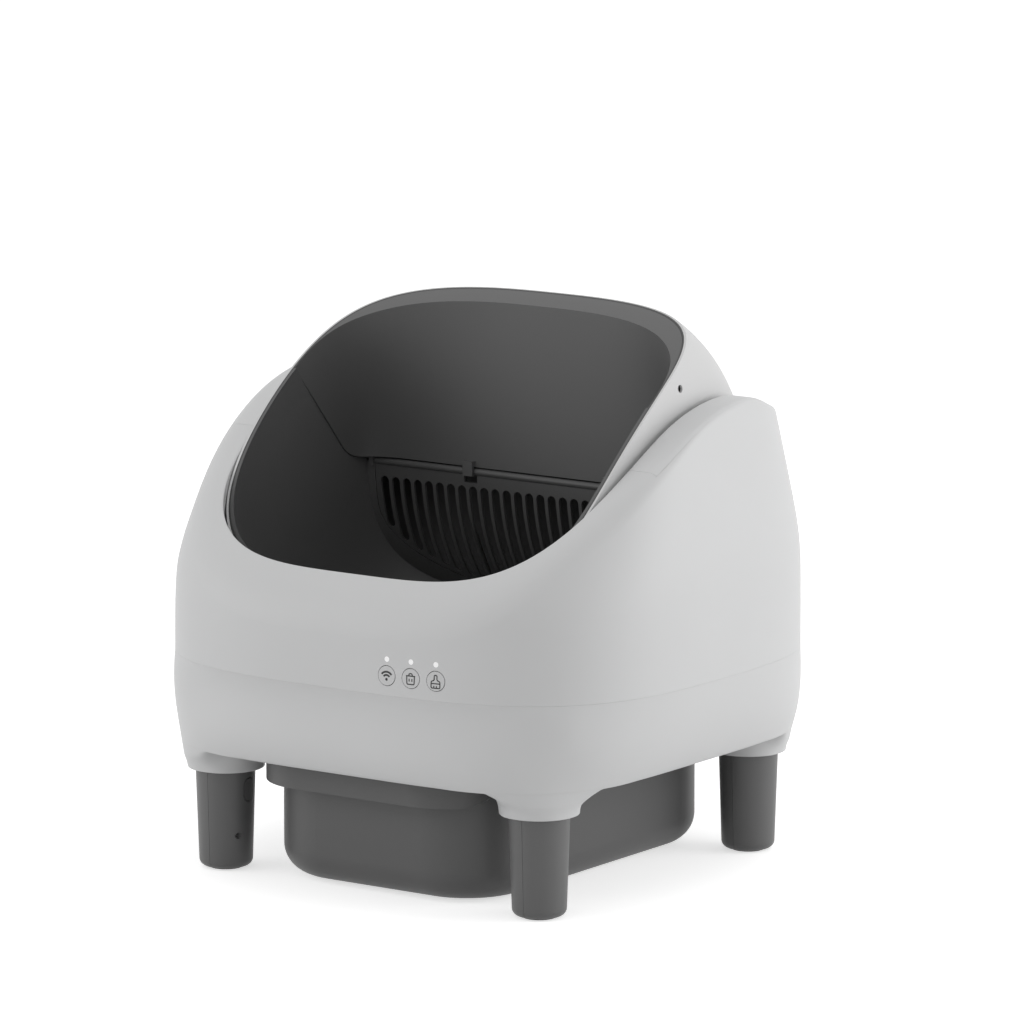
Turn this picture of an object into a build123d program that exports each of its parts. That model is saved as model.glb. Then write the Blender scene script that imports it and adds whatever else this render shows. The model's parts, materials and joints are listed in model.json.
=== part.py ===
from build123d import *
import math
import os

# Self-cleaning open-top litter box, in millimetres.
# Front is -Y, right is +X, up is +Z. The origin is on the floor, midway between the legs.

# Case walls, a superellipse in plan
case_half_width = 290.0
case_half_depth = 268.0
case_power = 3.2
case_wall = 3.0
parting_z = 221.0
parting_gap = 0.3
case_top_power = 2.9
side_lean_z = 336.0
side_lean_share = 0.163
front_lean_z = 310.0
front_lean_share = 0.62
rear_lean_z = 343.0
rear_lean_share = 0.15
lean_soft = 24.0
case_top_z = 500.0
wall_levels = 11
crease_radius = 9.0
crease_margin_share = 0.001

# Lower skirt, which turns from the case's outline to four round bosses
waist_z = 170.0
waist_half_width = 283.0
waist_half_depth = 266.0
waist_power = 3.5
skirt_z = 132.0
skirt_half_width = 264.0
skirt_half_depth = 260.0
skirt_power = 4.2
boss_z = 104.0
boss_radius = 40.0
boss_flare_radius = 28.0
boss_flare_clearance = 0.6
boss_collar = 3.0
corner_angle_shares = (0.10, 0.20, 0.28, 0.33, 0.36, 0.39, 0.42, 0.45,
                       0.48, 0.51, 0.54, 0.57, 0.62, 0.70, 0.80, 0.90)

# Opening in the top of the case, and the line of the ears over it
opening_half_width = 231.0
opening_half_depth = 229.0
opening_power = 3.7
lip_front_z = 331.0
ear_peak_y = 85.0
ear_peak_z = 489.0
ear_rear_z = 436.0
ear_front_y_shares = (-1.40, -1.0, -0.70, -0.37, 0.0)
ear_front_z_shares = (-0.556, 0.0, 0.354, 0.665, 0.920)
ear_rear_y_shares = (0.36, 0.63)
ear_rear_z_shares = (0.626, 0.453)
ear_cap_front_y = -84.0
ear_cap_rear_y = 150.0
ear_cap_depth = 3.5
ear_cap_gap = 0.25

# Legs
leg_x = 194.6
leg_y = 187.0
leg_top_radius = 30.5
leg_foot_radius = 27.4
leg_bottom_z = 1.5
leg_edge_radius = 8.0
leg_bore_radius = 21.0
leg_floor = 9.0
leg_seam = 0.3
spigot_radius = 26.0
spigot_fit = 0.1
spigot_roof = 4.0
pad_radius = 17.0
pad_seat = 3.5
leg_button_z = 83.0
leg_button_height = 23.5
leg_button_width = 14.0
leg_button_gap = 0.9
leg_button_flange = 1.8
leg_button_flange_depth = 2.0
leg_screw_y = 12.4
leg_screw_z = 36.6
leg_screw_hole_radius = 3.25
leg_screw_head_radius = 3.0
leg_screw_head = 2.4
leg_screw_radius = 1.7
leg_screw_sink = 7.0
leg_screw_grip = 10.0

# Inner frame: floor with the waste chute, and two towers for the bearings
frame_z = 143.0
frame_floor = 4.0
frame_inset = 12.0
chute_half_width = 120.0
chute_half_depth = 150.0
chute_radius = 40.0
chute_wall = 3.0
chute_drop = 16.0
tower_inner_x = 238.0
tower_outer_x = 250.0
tower_half_depth = 90.0
tower_shoulder_z = 342.0
tower_head_radius = 44.0
frame_screw_radius = 2.0
frame_screw_head_radius = 4.0
frame_screw_head = 2.5
frame_screw_length = 16.0

# Drum, a crowned barrel that turns about a cross axis
drum_z = 380.5
drum_half_width = 226.0
drum_radius = 224.0
drum_width_power = 2.8
drum_radius_power = 5.2
drum_wall = 3.0
drum_profile_end = 86.0
drum_profile_steps = 14
liner_gap = 0.3
liner_wall = 3.0
mouth_centre_y = 313.5
mouth_centre_z = -6.8
mouth_radius = 607.4
mouth_start_angle = 166.0
mouth_end_angle = 95.0

# Inside the drum: hood liner, bowl liner and the wall that carries the sieve
hood_half_width = 219.0
hood_half_depth = 151.0
hood_front_depth = 220.0
hood_centre_y = -60.0
hood_level_shares = (0.0, 0.17, 0.42, 0.74, 1.0)
hood_powers = (14.0, 9.0, 4.0, 2.75, 2.6)
seam_y = -34.0
seam_z = 491.0
seam_angle = 49.0
seam_radius = 42.0
seam_gap = 0.7
wall_curve_radius = 190.0
wall_curve_end = 70.0

# Sieve
hinge_z = 378.5
hinge_drop = 5.0
hinge_barrel_radius = 3.8
hinge_pin_radius = 2.0
hinge_pin_clearance = 0.06
hinge_pin_length = 11.0
hinge_pin_inset = 6.0
knuckle_width = 5.5
knuckle_depth = 10.0
knuckle_height = 10.0
sieve_half_width = 208.6
sieve_gap = 0.8
sieve_wall = 3.0
sieve_straight_z = 331.0
sieve_curve_height = 91.0
slot_count = 29
slot_pitch = 14.1
slot_width = 10.2
slot_top_z = 363.0
slot_margin = 6.0
clip_x = 87.0
clip_width = 12.0
clip_wall = 3.0
clip_gap = 0.6
clip_height = 6.0
clip_notch_gap = 2.0
clip_notch_z = 367.0

# Axles, bearings and drive
axle_radius = 15.0
axle_flange_radius = 40.0
axle_flange = 3.0
axle_end_x = 254.0
axle_hole_radius = 24.0
bush_radius = 19.0
running_fit = 0.05
gear_module = 2.5
gear_teeth = 60
pinion_teeth = 18
gear_width = 7.0
gear_offset = 0.6
pinion_angle = -50.0
pressure_angle = 20.0
backlash = 0.30
addendum_share = 1.0
dedendum_share = 1.25
flank_steps = 4
gear_hole_gap = 4.0
shaft_radius = 4.0
motor_length = 30.0
motor_height = 62.0
motor_depth = 46.0
motor_edge = 8.0

# Screws that hold the hood liner to the drum shell
drum_screw_y = 18.0
drum_screw_rise = 123.0
drum_screw_hole_radius = 4.0
drum_screw_head_radius = 3.6
drum_screw_head = 2.4
drum_screw_radius = 1.8
drum_screw_sink = 1.6
drum_screw_grip = 2.0
drum_screw_boss_radius = 6.0

# Waste bin, which slides forward on two rails
bin_half_width = 145.0
bin_front_y = -208.0
bin_rear_y = 218.0
bin_corner_radius = 80.0
bin_edge_radius = 30.0
bin_wall = 2.6
bin_floor_gap = 2.0
bin_top_z = 121.0
bin_rim = 4.0
bin_rim_z = 115.5
bin_rim_height = 3.0
lip_proud = 28.0
lip_wall = 4.0
lip_half_width = 141.0
lip_corner_radius = 70.0
lip_bottom_z = 104.0
lip_top_z = 129.0
lip_edge_radius = 22.0
lip_clearance = 1.5
rail_half_length = 128.0
rail_wall = 3.0
rail_gap = 0.4

# Front controls
button_x = 95.0
button_pitch = 28.0
button_z = 241.0
button_hole_radius = 10.4
button_gap = 0.7
button_flange = 2.0
button_flange_height = 2.0
button_flange_gap = 0.5
button_travel = 1.2
light_rise = 16.5
light_radius = 2.7
switch_half_width = 3.0
switch_height = 3.5
switch_gap = 0.3
board_half_width = 48.0
board_below = 18.0
board_above = 26.0
board_wall = 1.6
post_radius = 3.0
post_inset = 5.0

# Control board on the right tower, and the power inlet in the rear skirt
control_half_depth = 46.0
control_low_z = 215.0
control_high_z = 325.0
control_stand = 6.0
control_chip_half_width = 9.0
control_chip_height = 2.5
inlet_x = 170.0
inlet_z = 180.0
inlet_half_width = 8.0
inlet_depth = 14.0
inlet_bore_radius = 4.2
inlet_bore_depth = 10.0
inlet_pin_radius = 1.0

overrun = 30.0
low = (Align.CENTER, Align.CENTER, Align.MIN)
drum_axis = Axis((0, 0, drum_z), (1, 0, 0))
corners = [(i, j) for j in (-1, 1) for i in (-1, 1)]
corner_names = {(-1, -1): "front_left", (1, -1): "front_right", (-1, 1): "rear_left", (1, 1): "rear_right"}
side_names = {-1: "left", 1: "right"}


def block(x0, x1, y0, y1, z0, z1):
    size = Box(x1 - x0, y1 - y0, z1 - z0)
    return Pos((x0 + x1) / 2, (y0 + y1) / 2, (z0 + z1) / 2) * size


def rod_x(radius, x0, x1, y, z):
    return Pos(min(x0, x1), y, z) * Rot(0, 90, 0) * Cylinder(radius, abs(x1 - x0), align=low)


def rod_y(radius, y0, y1, x, z):
    return Pos(x, min(y0, y1), z) * Rot(-90, 0, 0) * Cylinder(radius, abs(y1 - y0), align=low)


def rod_z(radius, z0, z1, x, y):
    return Pos(x, y, z0) * Cylinder(radius, z1 - z0, align=low)


def across(face, half):
    # A side outline in Y and Z, drawn out along X both ways
    return extrude(Plane.YZ * face, amount=half, both=True)


# Outlines in plan

def ring_angles():
    quarter = [share * math.pi / 2 for share in corner_angle_shares]
    angles = []
    for turn in range(4):
        angles.append(turn * math.pi / 2)
        own = quarter if turn % 2 == 0 else [math.pi / 2 - a for a in reversed(quarter)]
        angles += [turn * math.pi / 2 + a for a in own]
    return angles


def superellipse(half_width, front, rear, power):
    def reach(angle):
        half_depth = front if math.sin(angle) < 0 else rear
        wide = (abs(math.cos(angle)) / half_width) ** power
        deep = (abs(math.sin(angle)) / half_depth) ** power
        return (wide + deep) ** (-1 / power)
    return reach


def rounded_rectangle(centre_x, centre_y, radius):
    def reach(angle):
        c, s = abs(math.cos(angle)), abs(math.sin(angle))
        if (centre_x + radius) * s <= centre_y * c:
            return (centre_x + radius) / c
        if (centre_y + radius) * c <= centre_x * s:
            return (centre_y + radius) / s
        along = c * centre_x + s * centre_y
        return along + math.sqrt(along ** 2 - centre_x ** 2 - centre_y ** 2 + radius ** 2)
    return reach


def outline(reach, z, centre_y=0.0):
    points = [(reach(a) * math.cos(a), centre_y + reach(a) * math.sin(a)) for a in ring_angles()]
    return Pos(0, 0, z) * make_face(Spline(*points, periodic=True))


# Case

def lean(z, start_z):
    # Height above the start of a lean that sets in softly, and is zero at the parting line
    above, parting = z - start_z, parting_z - start_z
    return (above - parting + math.hypot(above, lean_soft) - math.hypot(parting, lean_soft)) / 2


def upper_walls(inset):
    # Straight walls that lean inwards above their shoulder, drawn past both ends
    low_z, high_z = parting_z - overrun, case_top_z + overrun
    sections = []
    for k in range(wall_levels + 1):
        z = low_z + (high_z - low_z) * k / wall_levels
        half_width = case_half_width - side_lean_share * lean(z, side_lean_z) - inset
        front = case_half_depth - front_lean_share * lean(z, front_lean_z) - inset
        rear = case_half_depth - rear_lean_share * lean(z, rear_lean_z) - inset
        share = max(0, z - front_lean_z) / (case_top_z - front_lean_z)
        power = case_power + share * (case_top_power - case_power)
        sections.append(outline(superellipse(half_width, front, rear, power), z))
    return loft(sections)


def lower_walls(inset):
    sections = [
        outline(rounded_rectangle(leg_x, leg_y, boss_radius - inset), boss_z),
        outline(superellipse(skirt_half_width - inset, skirt_half_depth - inset,
                             skirt_half_depth - inset, skirt_power), skirt_z),
        outline(superellipse(waist_half_width - inset, waist_half_depth - inset,
                             waist_half_depth - inset, waist_power), waist_z),
        outline(superellipse(case_half_width - inset, case_half_depth - inset,
                             case_half_depth - inset, case_power), parting_z),
    ]
    return loft(sections)


def above_ears(drop):
    # Everything above the line that the ears and the front lip follow
    front_y, rise = opening_half_depth, ear_peak_z - lip_front_z
    rear_y, fall = case_half_depth + overrun - ear_peak_y, ear_peak_z - ear_rear_z
    points = [(y * front_y, lip_front_z + z * rise) for y, z in zip(ear_front_y_shares, ear_front_z_shares)]
    points.append((ear_peak_y, ear_peak_z))
    points += [(ear_peak_y + y * rear_y, ear_rear_z + z * fall)
               for y, z in zip(ear_rear_y_shares, ear_rear_z_shares)]
    points.append((ear_peak_y + rear_y, ear_rear_z))
    points = [(y, z - drop) for y, z in points]
    roof = case_top_z + 2 * overrun
    close = Polyline(points[-1], (points[-1][0], roof), (points[0][0], roof), points[0])
    return across(make_face([Spline(*points), close]), case_half_width + overrun)


def opening(grow):
    reach = superellipse(opening_half_width + grow, opening_half_depth + grow,
                         opening_half_depth + grow, opening_power)
    floor, roof = parting_z - 2 * overrun, case_top_z + 2 * overrun
    return extrude(outline(reach, floor), amount=roof - floor)


def on_crease(edge):
    # The outer edge of the top band climbs outside the opening, all of it above the parting line
    p, box = edge @ 0.5, edge.bounding_box()
    wide, deep = abs(p.X) / opening_half_width, abs(p.Y) / opening_half_depth
    outside = wide ** opening_power + deep ** opening_power > 1 + crease_margin_share
    return outside and box.min.Z > parting_z and box.size.Z > case_wall


def upper_block():
    body = upper_walls(0) - above_ears(0)
    crease = [e for e in body.edges() if on_crease(e)]
    return fillet(crease, crease_radius) - opening(0)


def upper_hollow():
    return upper_walls(case_wall) - above_ears(case_wall * math.sqrt(2)) - opening(case_wall)


def ear_zone(side, gap):
    slab = above_ears(ear_cap_depth - gap)
    reach_x = case_half_width + overrun
    limits = block(min(0, side * reach_x), max(0, side * reach_x), ear_cap_front_y + gap,
                   ear_cap_rear_y - gap, parting_z, case_top_z)
    return slab & limits


def pinion_centre():
    distance = gear_module * (gear_teeth + pinion_teeth) / 2
    turn = math.radians(pinion_angle)
    return distance * math.cos(turn), drum_z + distance * math.sin(turn)


def pitch_radius(teeth):
    return gear_module * teeth / 2


def tip_radius(teeth):
    return pitch_radius(teeth) + addendum_share * gear_module


def drive_holes():
    # The right axle, and on the left the drum gear and its pinion, pass the inner wall
    inner, outer = opening_half_width - case_wall, opening_half_width + 2 * case_wall
    y, z = pinion_centre()
    holes = rod_x(axle_hole_radius, inner, outer, 0, drum_z)
    holes += rod_x(tip_radius(gear_teeth) + gear_hole_gap, -outer, -inner, 0, drum_z)
    holes += rod_x(tip_radius(pinion_teeth) + gear_hole_gap, -outer, -inner, y, z)
    return holes


def button_places():
    return [button_x + k * button_pitch for k in (-1, 0, 1)]


def front_y(x, inset=0.0):
    share = (abs(x) / (case_half_width - inset)) ** case_power
    return -(case_half_depth - inset) * (1 - share) ** (1 / case_power)


def button_seat(x):
    # Inside of the front wall at the far edge of a button's flange
    return front_y(x + button_hole_radius + button_flange, case_wall) + button_flange_gap


def board_y():
    last = max(button_seat(x) for x in button_places())
    return last + button_flange_height + button_travel + switch_gap + switch_height


def control_holes():
    front, back = -case_half_depth - overrun, board_y() - board_wall
    holes = []
    for x in button_places():
        holes.append(rod_y(button_hole_radius, front, back, x, button_z))
        holes.append(rod_y(light_radius, front, back, x, button_z + light_rise))
    return holes


def board_posts():
    # Four posts on the inside of the front wall carry the button board
    posts = []
    for i in (-1, 1):
        x = button_x + i * (board_half_width - post_inset)
        for z in (button_z - board_below + post_inset, button_z + board_above - post_inset):
            posts.append(rod_y(post_radius, front_y(x, case_wall / 2), board_y(), x, z))
    return posts


def upper_case(whole, hollow):
    case = whole - hollow
    case = case - [ear_zone(side, 0) for side in side_names] - drive_holes()
    span = case_half_width + overrun
    case = case - block(-span, span, -span, span, parting_z - 2 * overrun, parting_z + parting_gap)
    return case + board_posts() - control_holes()


def ear_cap(whole, hollow, side):
    return (whole & ear_zone(side, ear_cap_gap)) - hollow


def boss(i, j, grow=0.0):
    # A round boss whose foot flares out to the skirt
    wide = boss_radius + boss_flare_clearance + boss_flare_radius
    radius = boss_flare_radius - grow
    bend = radius * math.sqrt(0.5)
    low_z, top = skirt_z - boss_flare_radius, skirt_z + boss_collar
    start, end = (wide - radius, low_z), (wide, low_z + radius)
    flare = ThreePointArc(start, (wide - bend, low_z + bend), end)
    rest = Polyline(end, (wide, top), (0, top), (0, low_z), start)
    horn = revolve(Plane.XZ * make_face([flare, rest]), Axis.Z)
    return Pos(i * leg_x, j * leg_y, 0) * horn


def frame_screw_places():
    ring = (boss_radius + spigot_radius) / 2 * math.sqrt(0.5)
    return [(i * (leg_x - ring), j * (leg_y - ring)) for i, j in corners]


def lower_case():
    outer = lower_walls(0)
    span = case_half_width + overrun
    above = block(-span, span, -span, span, skirt_z, parting_z)
    case = (outer & above) - lower_walls(case_wall)
    for i, j in corners:
        case += boss(i, j) & outer
        case += rod_z(boss_radius, skirt_z, frame_z, i * leg_x, j * leg_y) & outer
    for i, j in corners:
        case -= rod_z(spigot_radius + spigot_fit, boss_z - overrun, frame_z + overrun, i * leg_x, j * leg_y)
    for x, y in frame_screw_places():
        case -= rod_z(frame_screw_radius, frame_z - frame_screw_length, frame_z, x, y)
    wall_y = case_half_depth
    case -= block(inlet_x - inlet_half_width, inlet_x + inlet_half_width, wall_y - overrun, wall_y + overrun,
                  inlet_z - inlet_half_width, inlet_z + inlet_half_width)
    return case


def power_inlet():
    x0, x1 = inlet_x - inlet_half_width, inlet_x + inlet_half_width
    z0, z1 = inlet_z - inlet_half_width, inlet_z + inlet_half_width
    body = block(x0, x1, case_half_depth - overrun, case_half_depth + overrun, z0, z1) & lower_walls(0)
    rear = max(v.Y for v in body.vertices())
    body &= block(x0, x1, rear - inlet_depth, rear + overrun, z0, z1)
    seat = rear - inlet_bore_depth
    bore = rod_y(inlet_bore_radius, seat, rear + overrun, inlet_x, inlet_z)
    pin = rod_y(inlet_pin_radius, seat - inlet_pin_radius, rear - inlet_pin_radius, inlet_x, inlet_z)
    return body - bore + pin


# Legs

def leg_body():
    side = [(leg_top_radius, boss_z - leg_seam), (leg_foot_radius, leg_bottom_z + leg_edge_radius)]
    foot = leg_foot_radius - leg_edge_radius
    bend = leg_edge_radius * math.sqrt(0.5)
    toe = ThreePointArc(side[1], (foot + bend, leg_bottom_z + leg_edge_radius - bend), (foot, leg_bottom_z))
    rest = Polyline((foot, leg_bottom_z), (0, leg_bottom_z), (0, frame_z - spigot_roof),
                    (spigot_radius, frame_z - spigot_roof), (spigot_radius, boss_z - leg_seam), *side)
    return revolve(Plane.XZ * make_face([toe, rest]), Axis.Z)


def leg_button_bar(grow, inner, outer):
    face = SlotOverall(leg_button_height + 2 * grow, leg_button_width + 2 * grow, rotation=90)
    return Pos(0, 0, leg_button_z) * extrude(Plane.YZ.offset(inner) * face, amount=outer - inner)


def leg_screw_seat():
    reach = math.sqrt(leg_foot_radius ** 2 - leg_screw_y ** 2)
    return reach - leg_screw_sink


def leg_halves():
    # Made for a leg whose button faces +X and whose screw is on the front side
    bore_top = frame_z - 2 * spigot_roof
    body = leg_body() - rod_z(leg_bore_radius, leg_bottom_z + leg_floor, bore_top, 0, 0)
    body -= rod_z(pad_radius, leg_bottom_z - overrun, leg_bottom_z + pad_seat, 0, 0)
    body += rod_x(leg_screw_hole_radius + leg_screw_radius, -leg_bore_radius, leg_screw_seat(),
                  -leg_screw_y, leg_screw_z) & leg_body()
    body -= leg_button_bar(leg_button_gap, 0, leg_top_radius + overrun)
    wide = leg_top_radius + overrun
    body -= rod_x(leg_screw_hole_radius, leg_screw_seat(), wide, -leg_screw_y, leg_screw_z)
    body -= rod_x(leg_screw_radius, -leg_screw_grip, leg_screw_seat(), -leg_screw_y, leg_screw_z)
    inner = body & block(leg_seam / 2, wide, -wide, wide, 0, frame_z)
    outer = body & block(-wide, -leg_seam / 2, -wide, wide, 0, frame_z)
    return inner, outer


def leg_button_face():
    return leg_bore_radius - leg_button_flange_depth - leg_button_gap


def leg_button():
    stem = leg_button_bar(0, leg_button_face(), leg_top_radius + overrun) & leg_body()
    inner = leg_button_face() - leg_button_flange_depth
    return stem + leg_button_bar(leg_button_flange, inner, leg_button_face())


def leg_screw():
    seat = leg_screw_seat()
    head = rod_x(leg_screw_head_radius, seat, seat + leg_screw_head, -leg_screw_y, leg_screw_z)
    return head + rod_x(leg_screw_radius, -leg_screw_grip, seat, -leg_screw_y, leg_screw_z)


def foot_pad():
    return rod_z(pad_radius, 0, leg_bottom_z + pad_seat, 0, 0)


def at_leg(shape, i, j):
    # The button faces the middle of the box, and the screw faces the near end
    turned = shape if i < 0 else mirror(shape, about=Plane.YZ)
    turned = turned if j < 0 else mirror(turned, about=Plane.XZ)
    return Pos(i * leg_x, j * leg_y, 0) * turned


# Inner frame

def frame_plate(grow):
    return superellipse(skirt_half_width - frame_inset + grow, skirt_half_depth - frame_inset + grow,
                        skirt_half_depth - frame_inset + grow, skirt_power)


def chute(grow, z0, z1):
    face = RectangleRounded(2 * (chute_half_width + grow), 2 * (chute_half_depth + grow), chute_radius + grow)
    return Pos(0, 0, z0) * extrude(face, amount=z1 - z0)


def tower(side):
    # A wide plate that narrows to a round head at the bearing
    inner, outer = sorted((side * tower_inner_x, side * tower_outer_x))
    wide, narrow = tower_half_depth, tower_head_radius
    face = make_face(Polyline((-wide, frame_z), (wide, frame_z), (wide, tower_shoulder_z), (narrow, drum_z),
                              (-narrow, drum_z), (-wide, tower_shoulder_z), close=True))
    plate = extrude(Plane.YZ.offset(inner) * face, amount=outer - inner)
    return plate + rod_x(tower_head_radius, inner, outer, 0, drum_z)


def control_places():
    return [(i * (control_half_depth - post_inset), z) for i in (-1, 1)
            for z in (control_low_z + post_inset, control_high_z - post_inset)]


def inner_frame():
    frame = extrude(outline(frame_plate(0), frame_z), amount=frame_floor)
    frame += chute(chute_wall, frame_z - chute_drop, frame_z)
    frame -= chute(0, frame_z - chute_drop - overrun, frame_z + frame_floor + overrun)
    for side in side_names:
        frame += tower(side)
    for y, z in control_places():
        frame += rod_x(post_radius, tower_outer_x, tower_outer_x + control_stand, y, z)
    for side in side_names:
        frame -= rod_x(bush_radius, side * tower_inner_x, side * tower_outer_x, 0, drum_z)
    y, z = pinion_centre()
    frame -= rod_x(shaft_radius + gear_hole_gap, -tower_outer_x - overrun, -tower_inner_x + overrun, y, z)
    for x, y in frame_screw_places():
        frame -= rod_z(frame_screw_radius, frame_z - overrun, frame_z + frame_floor + overrun, x, y)
    return frame


def frame_screws():
    screws = []
    top = frame_z + frame_floor
    for x, y in frame_screw_places():
        head = rod_z(frame_screw_head_radius, top, top + frame_screw_head, x, y)
        screws.append(head + rod_z(frame_screw_radius, frame_z - frame_screw_length, top, x, y))
    return Compound(screws)


def bearing_bush(side):
    ends = (side * tower_inner_x, side * tower_outer_x)
    return rod_x(bush_radius, *ends, 0, drum_z) - rod_x(axle_radius + running_fit, *ends, 0, drum_z)


def control_board():
    x = tower_outer_x + control_stand
    board = block(x, x + board_wall, -control_half_depth, control_half_depth, control_low_z, control_high_z)
    middle = (control_low_z + control_high_z) / 2
    chip = block(x + board_wall, x + board_wall + control_chip_height, -control_chip_half_width,
                 control_chip_half_width, middle - control_chip_half_width, middle + control_chip_half_width)
    return board + chip


# Drum

def barrel(inset):
    half_width, radius = drum_half_width - inset, drum_radius - inset
    points = []
    for k in range(-drum_profile_steps, drum_profile_steps + 1):
        turn = math.radians(drum_profile_end) * k / drum_profile_steps
        x = half_width * math.copysign(abs(math.sin(turn)) ** (2 / drum_width_power), turn)
        points.append((x, drum_z + radius * math.cos(turn) ** (2 / drum_radius_power)))
    close = Polyline(points[-1], (points[-1][0], drum_z), (points[0][0], drum_z), points[0])
    return revolve(Plane.XZ * make_face([Spline(*points), close]), drum_axis)


def drum_end_x():
    return drum_half_width * math.sin(math.radians(drum_profile_end)) ** (2 / drum_width_power)


def above_mouth(drop):
    # The mouth follows one large arc seen from the side
    turns = [math.radians(a) for a in (mouth_start_angle, (mouth_start_angle + mouth_end_angle) / 2,
                                       mouth_end_angle)]
    start, middle, end = [(mouth_centre_y + mouth_radius * math.cos(t),
                           mouth_centre_z - drop + mouth_radius * math.sin(t)) for t in turns]
    roof = drum_z + drum_radius + overrun
    close = Polyline(end, (end[0], roof), (start[0], roof), start)
    return across(make_face([ThreePointArc(start, middle, end), close]), drum_half_width + overrun)


def seam_line_z():
    return hinge_z + hinge_drop


def above_seam(gap):
    # The hood liner's lower edge slopes down from the rim, then runs level over the sieve
    slope = math.tan(math.radians(seam_angle))
    level = seam_line_z() + gap
    rise = drum_radius
    top = (seam_y - rise / slope, seam_z + rise + gap)
    foot = (seam_y + (seam_z - seam_line_z()) / slope, level)
    end = (drum_radius + overrun, level)
    roof = top[1] + overrun
    edge = FilletPolyline(top, foot, end, radius=seam_radius)
    close = Polyline(end, (end[0], roof), (top[0], roof), top)
    return across(make_face([edge, close]), drum_half_width + overrun)


def rear_wall_y():
    return hood_centre_y + hood_half_depth


def behind_wall(offset):
    # Everything behind the wall that carries the sieve, which curves back below the hinge
    y, far = rear_wall_y() + offset, drum_radius + overrun
    centre, radius = rear_wall_y() + wall_curve_radius, wall_curve_radius - offset
    turns = [math.radians(wall_curve_end) * share for share in (0, 0.5, 1)]
    arc = [(centre - radius * math.cos(t), hinge_z - radius * math.sin(t)) for t in turns]
    rest = Polyline(arc[-1], (far + y, arc[-1][1]), (far + y, far + drum_z), (y, far + drum_z), arc[0])
    return across(make_face([ThreePointArc(*arc), rest]), drum_half_width + overrun)


def drum_screw_reach():
    radius = math.hypot(drum_screw_y, drum_screw_rise)
    share = (radius / drum_radius) ** drum_radius_power
    return drum_half_width * (1 - share) ** (1 / drum_width_power)


def drum_shell():
    shell = barrel(0) - barrel(drum_wall) - above_mouth(0)
    for side in side_names:
        shell -= rod_x(drum_screw_hole_radius, side * hood_half_width / 2, side * (drum_half_width + overrun),
                       drum_screw_y, drum_z + drum_screw_rise)
    return shell


def hood_room(grow):
    # Square in plan over the sieve, and rounder towards the mouth
    start, end = seam_line_z() - overrun, drum_z + drum_radius + overrun
    sections = []
    for share, power in zip(hood_level_shares, hood_powers):
        reach = superellipse(hood_half_width + grow, hood_front_depth + grow, hood_half_depth + grow, power)
        sections.append(outline(reach, start + share * (end - start), hood_centre_y))
    return loft(sections)


def hood_liner():
    room = barrel(drum_wall + liner_gap) & above_seam(seam_gap / 2)
    room -= above_mouth(0)
    inside = hood_room(0)
    wall = (room & hood_room(liner_wall)) - inside
    band = (room & above_mouth(liner_wall)) - inside
    liner = wall + band
    y, z = drum_screw_y, drum_z + drum_screw_rise
    for side in side_names:
        post = rod_x(drum_screw_boss_radius, side * hood_half_width / 2, side * drum_screw_seat(), y, z)
        liner += post - inside
        liner -= rod_x(drum_screw_radius, side * drum_screw_tip(), side * drum_half_width, y, z)
        liner -= rod_x(drum_screw_hole_radius, side * drum_screw_seat(), side * drum_half_width, y, z)
    return max(liner.solids(), key=lambda s: s.volume)


def drum_screw_seat():
    return drum_screw_reach() - drum_wall - drum_screw_sink - drum_screw_head


def drum_screw_tip():
    return drum_screw_seat() - drum_screw_grip


def drum_screws():
    screws = []
    y, z = drum_screw_y, drum_z + drum_screw_rise
    for side in side_names:
        seat = drum_screw_seat()
        head = rod_x(drum_screw_head_radius, side * seat, side * (seat + drum_screw_head), y, z)
        stem = rod_x(drum_screw_radius, side * drum_screw_tip(), side * seat, y, z)
        screws.append(head + stem)
    return Compound(screws)


def hinge_y():
    return rear_wall_y() + liner_wall / 2


def sieve_face(grow):
    # Straight sides under the hinge, then half an ellipse
    half_width = sieve_half_width + grow
    height = sieve_curve_height + grow
    left, right = (-half_width, sieve_straight_z), (half_width, sieve_straight_z)
    curve = EllipticalCenterArc((0, sieve_straight_z), half_width, height, 180, arc_size=180)
    top = Polyline(right, (half_width, hinge_z + grow), (-half_width, hinge_z + grow), left)
    return make_face([curve, top])


def through_wall(face):
    # A front outline drawn back through the whole depth of the curved wall
    depth = wall_curve_radius + overrun
    return Pos(0, hinge_y() + wall_curve_radius, 0) * extrude(Plane.XZ * face, amount=depth)


def sieve_window():
    half_width = sieve_half_width + sieve_gap
    window = through_wall(sieve_face(sieve_gap))
    return window + block(-half_width, half_width, hinge_y() - overrun, hinge_y() + overrun,
                          hinge_z, seam_line_z() + overrun)


def knuckle_x():
    return sieve_half_width + sieve_gap


def knuckles():
    parts = []
    for side in side_names:
        x0, x1 = sorted((side * knuckle_x(), side * (knuckle_x() + knuckle_width)))
        y0, y1 = hinge_y() - knuckle_depth / 2, hinge_y() + knuckle_depth / 2
        z0, z1 = hinge_z - knuckle_height / 2, hinge_z + knuckle_height / 2 - seam_gap
        parts.append(block(x0, x1, y0, y1, z0, z1))
    return parts


def bowl_liner():
    outside = barrel(drum_wall + liner_gap) - above_mouth(0) - above_seam(-seam_gap / 2)
    outside -= behind_wall(liner_wall)
    inside = barrel(drum_wall + liner_gap + liner_wall) - behind_wall(0)
    bowl = outside - inside - sieve_window()
    bowl += knuckles()
    for side in side_names:
        bowl -= rod_x(hinge_pin_radius + hinge_pin_clearance, side * sieve_half_width / 2,
                      side * (drum_half_width - drum_wall - liner_gap - liner_wall / 2), hinge_y(), hinge_z)
    return max(bowl.solids(), key=lambda s: s.volume)


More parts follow.
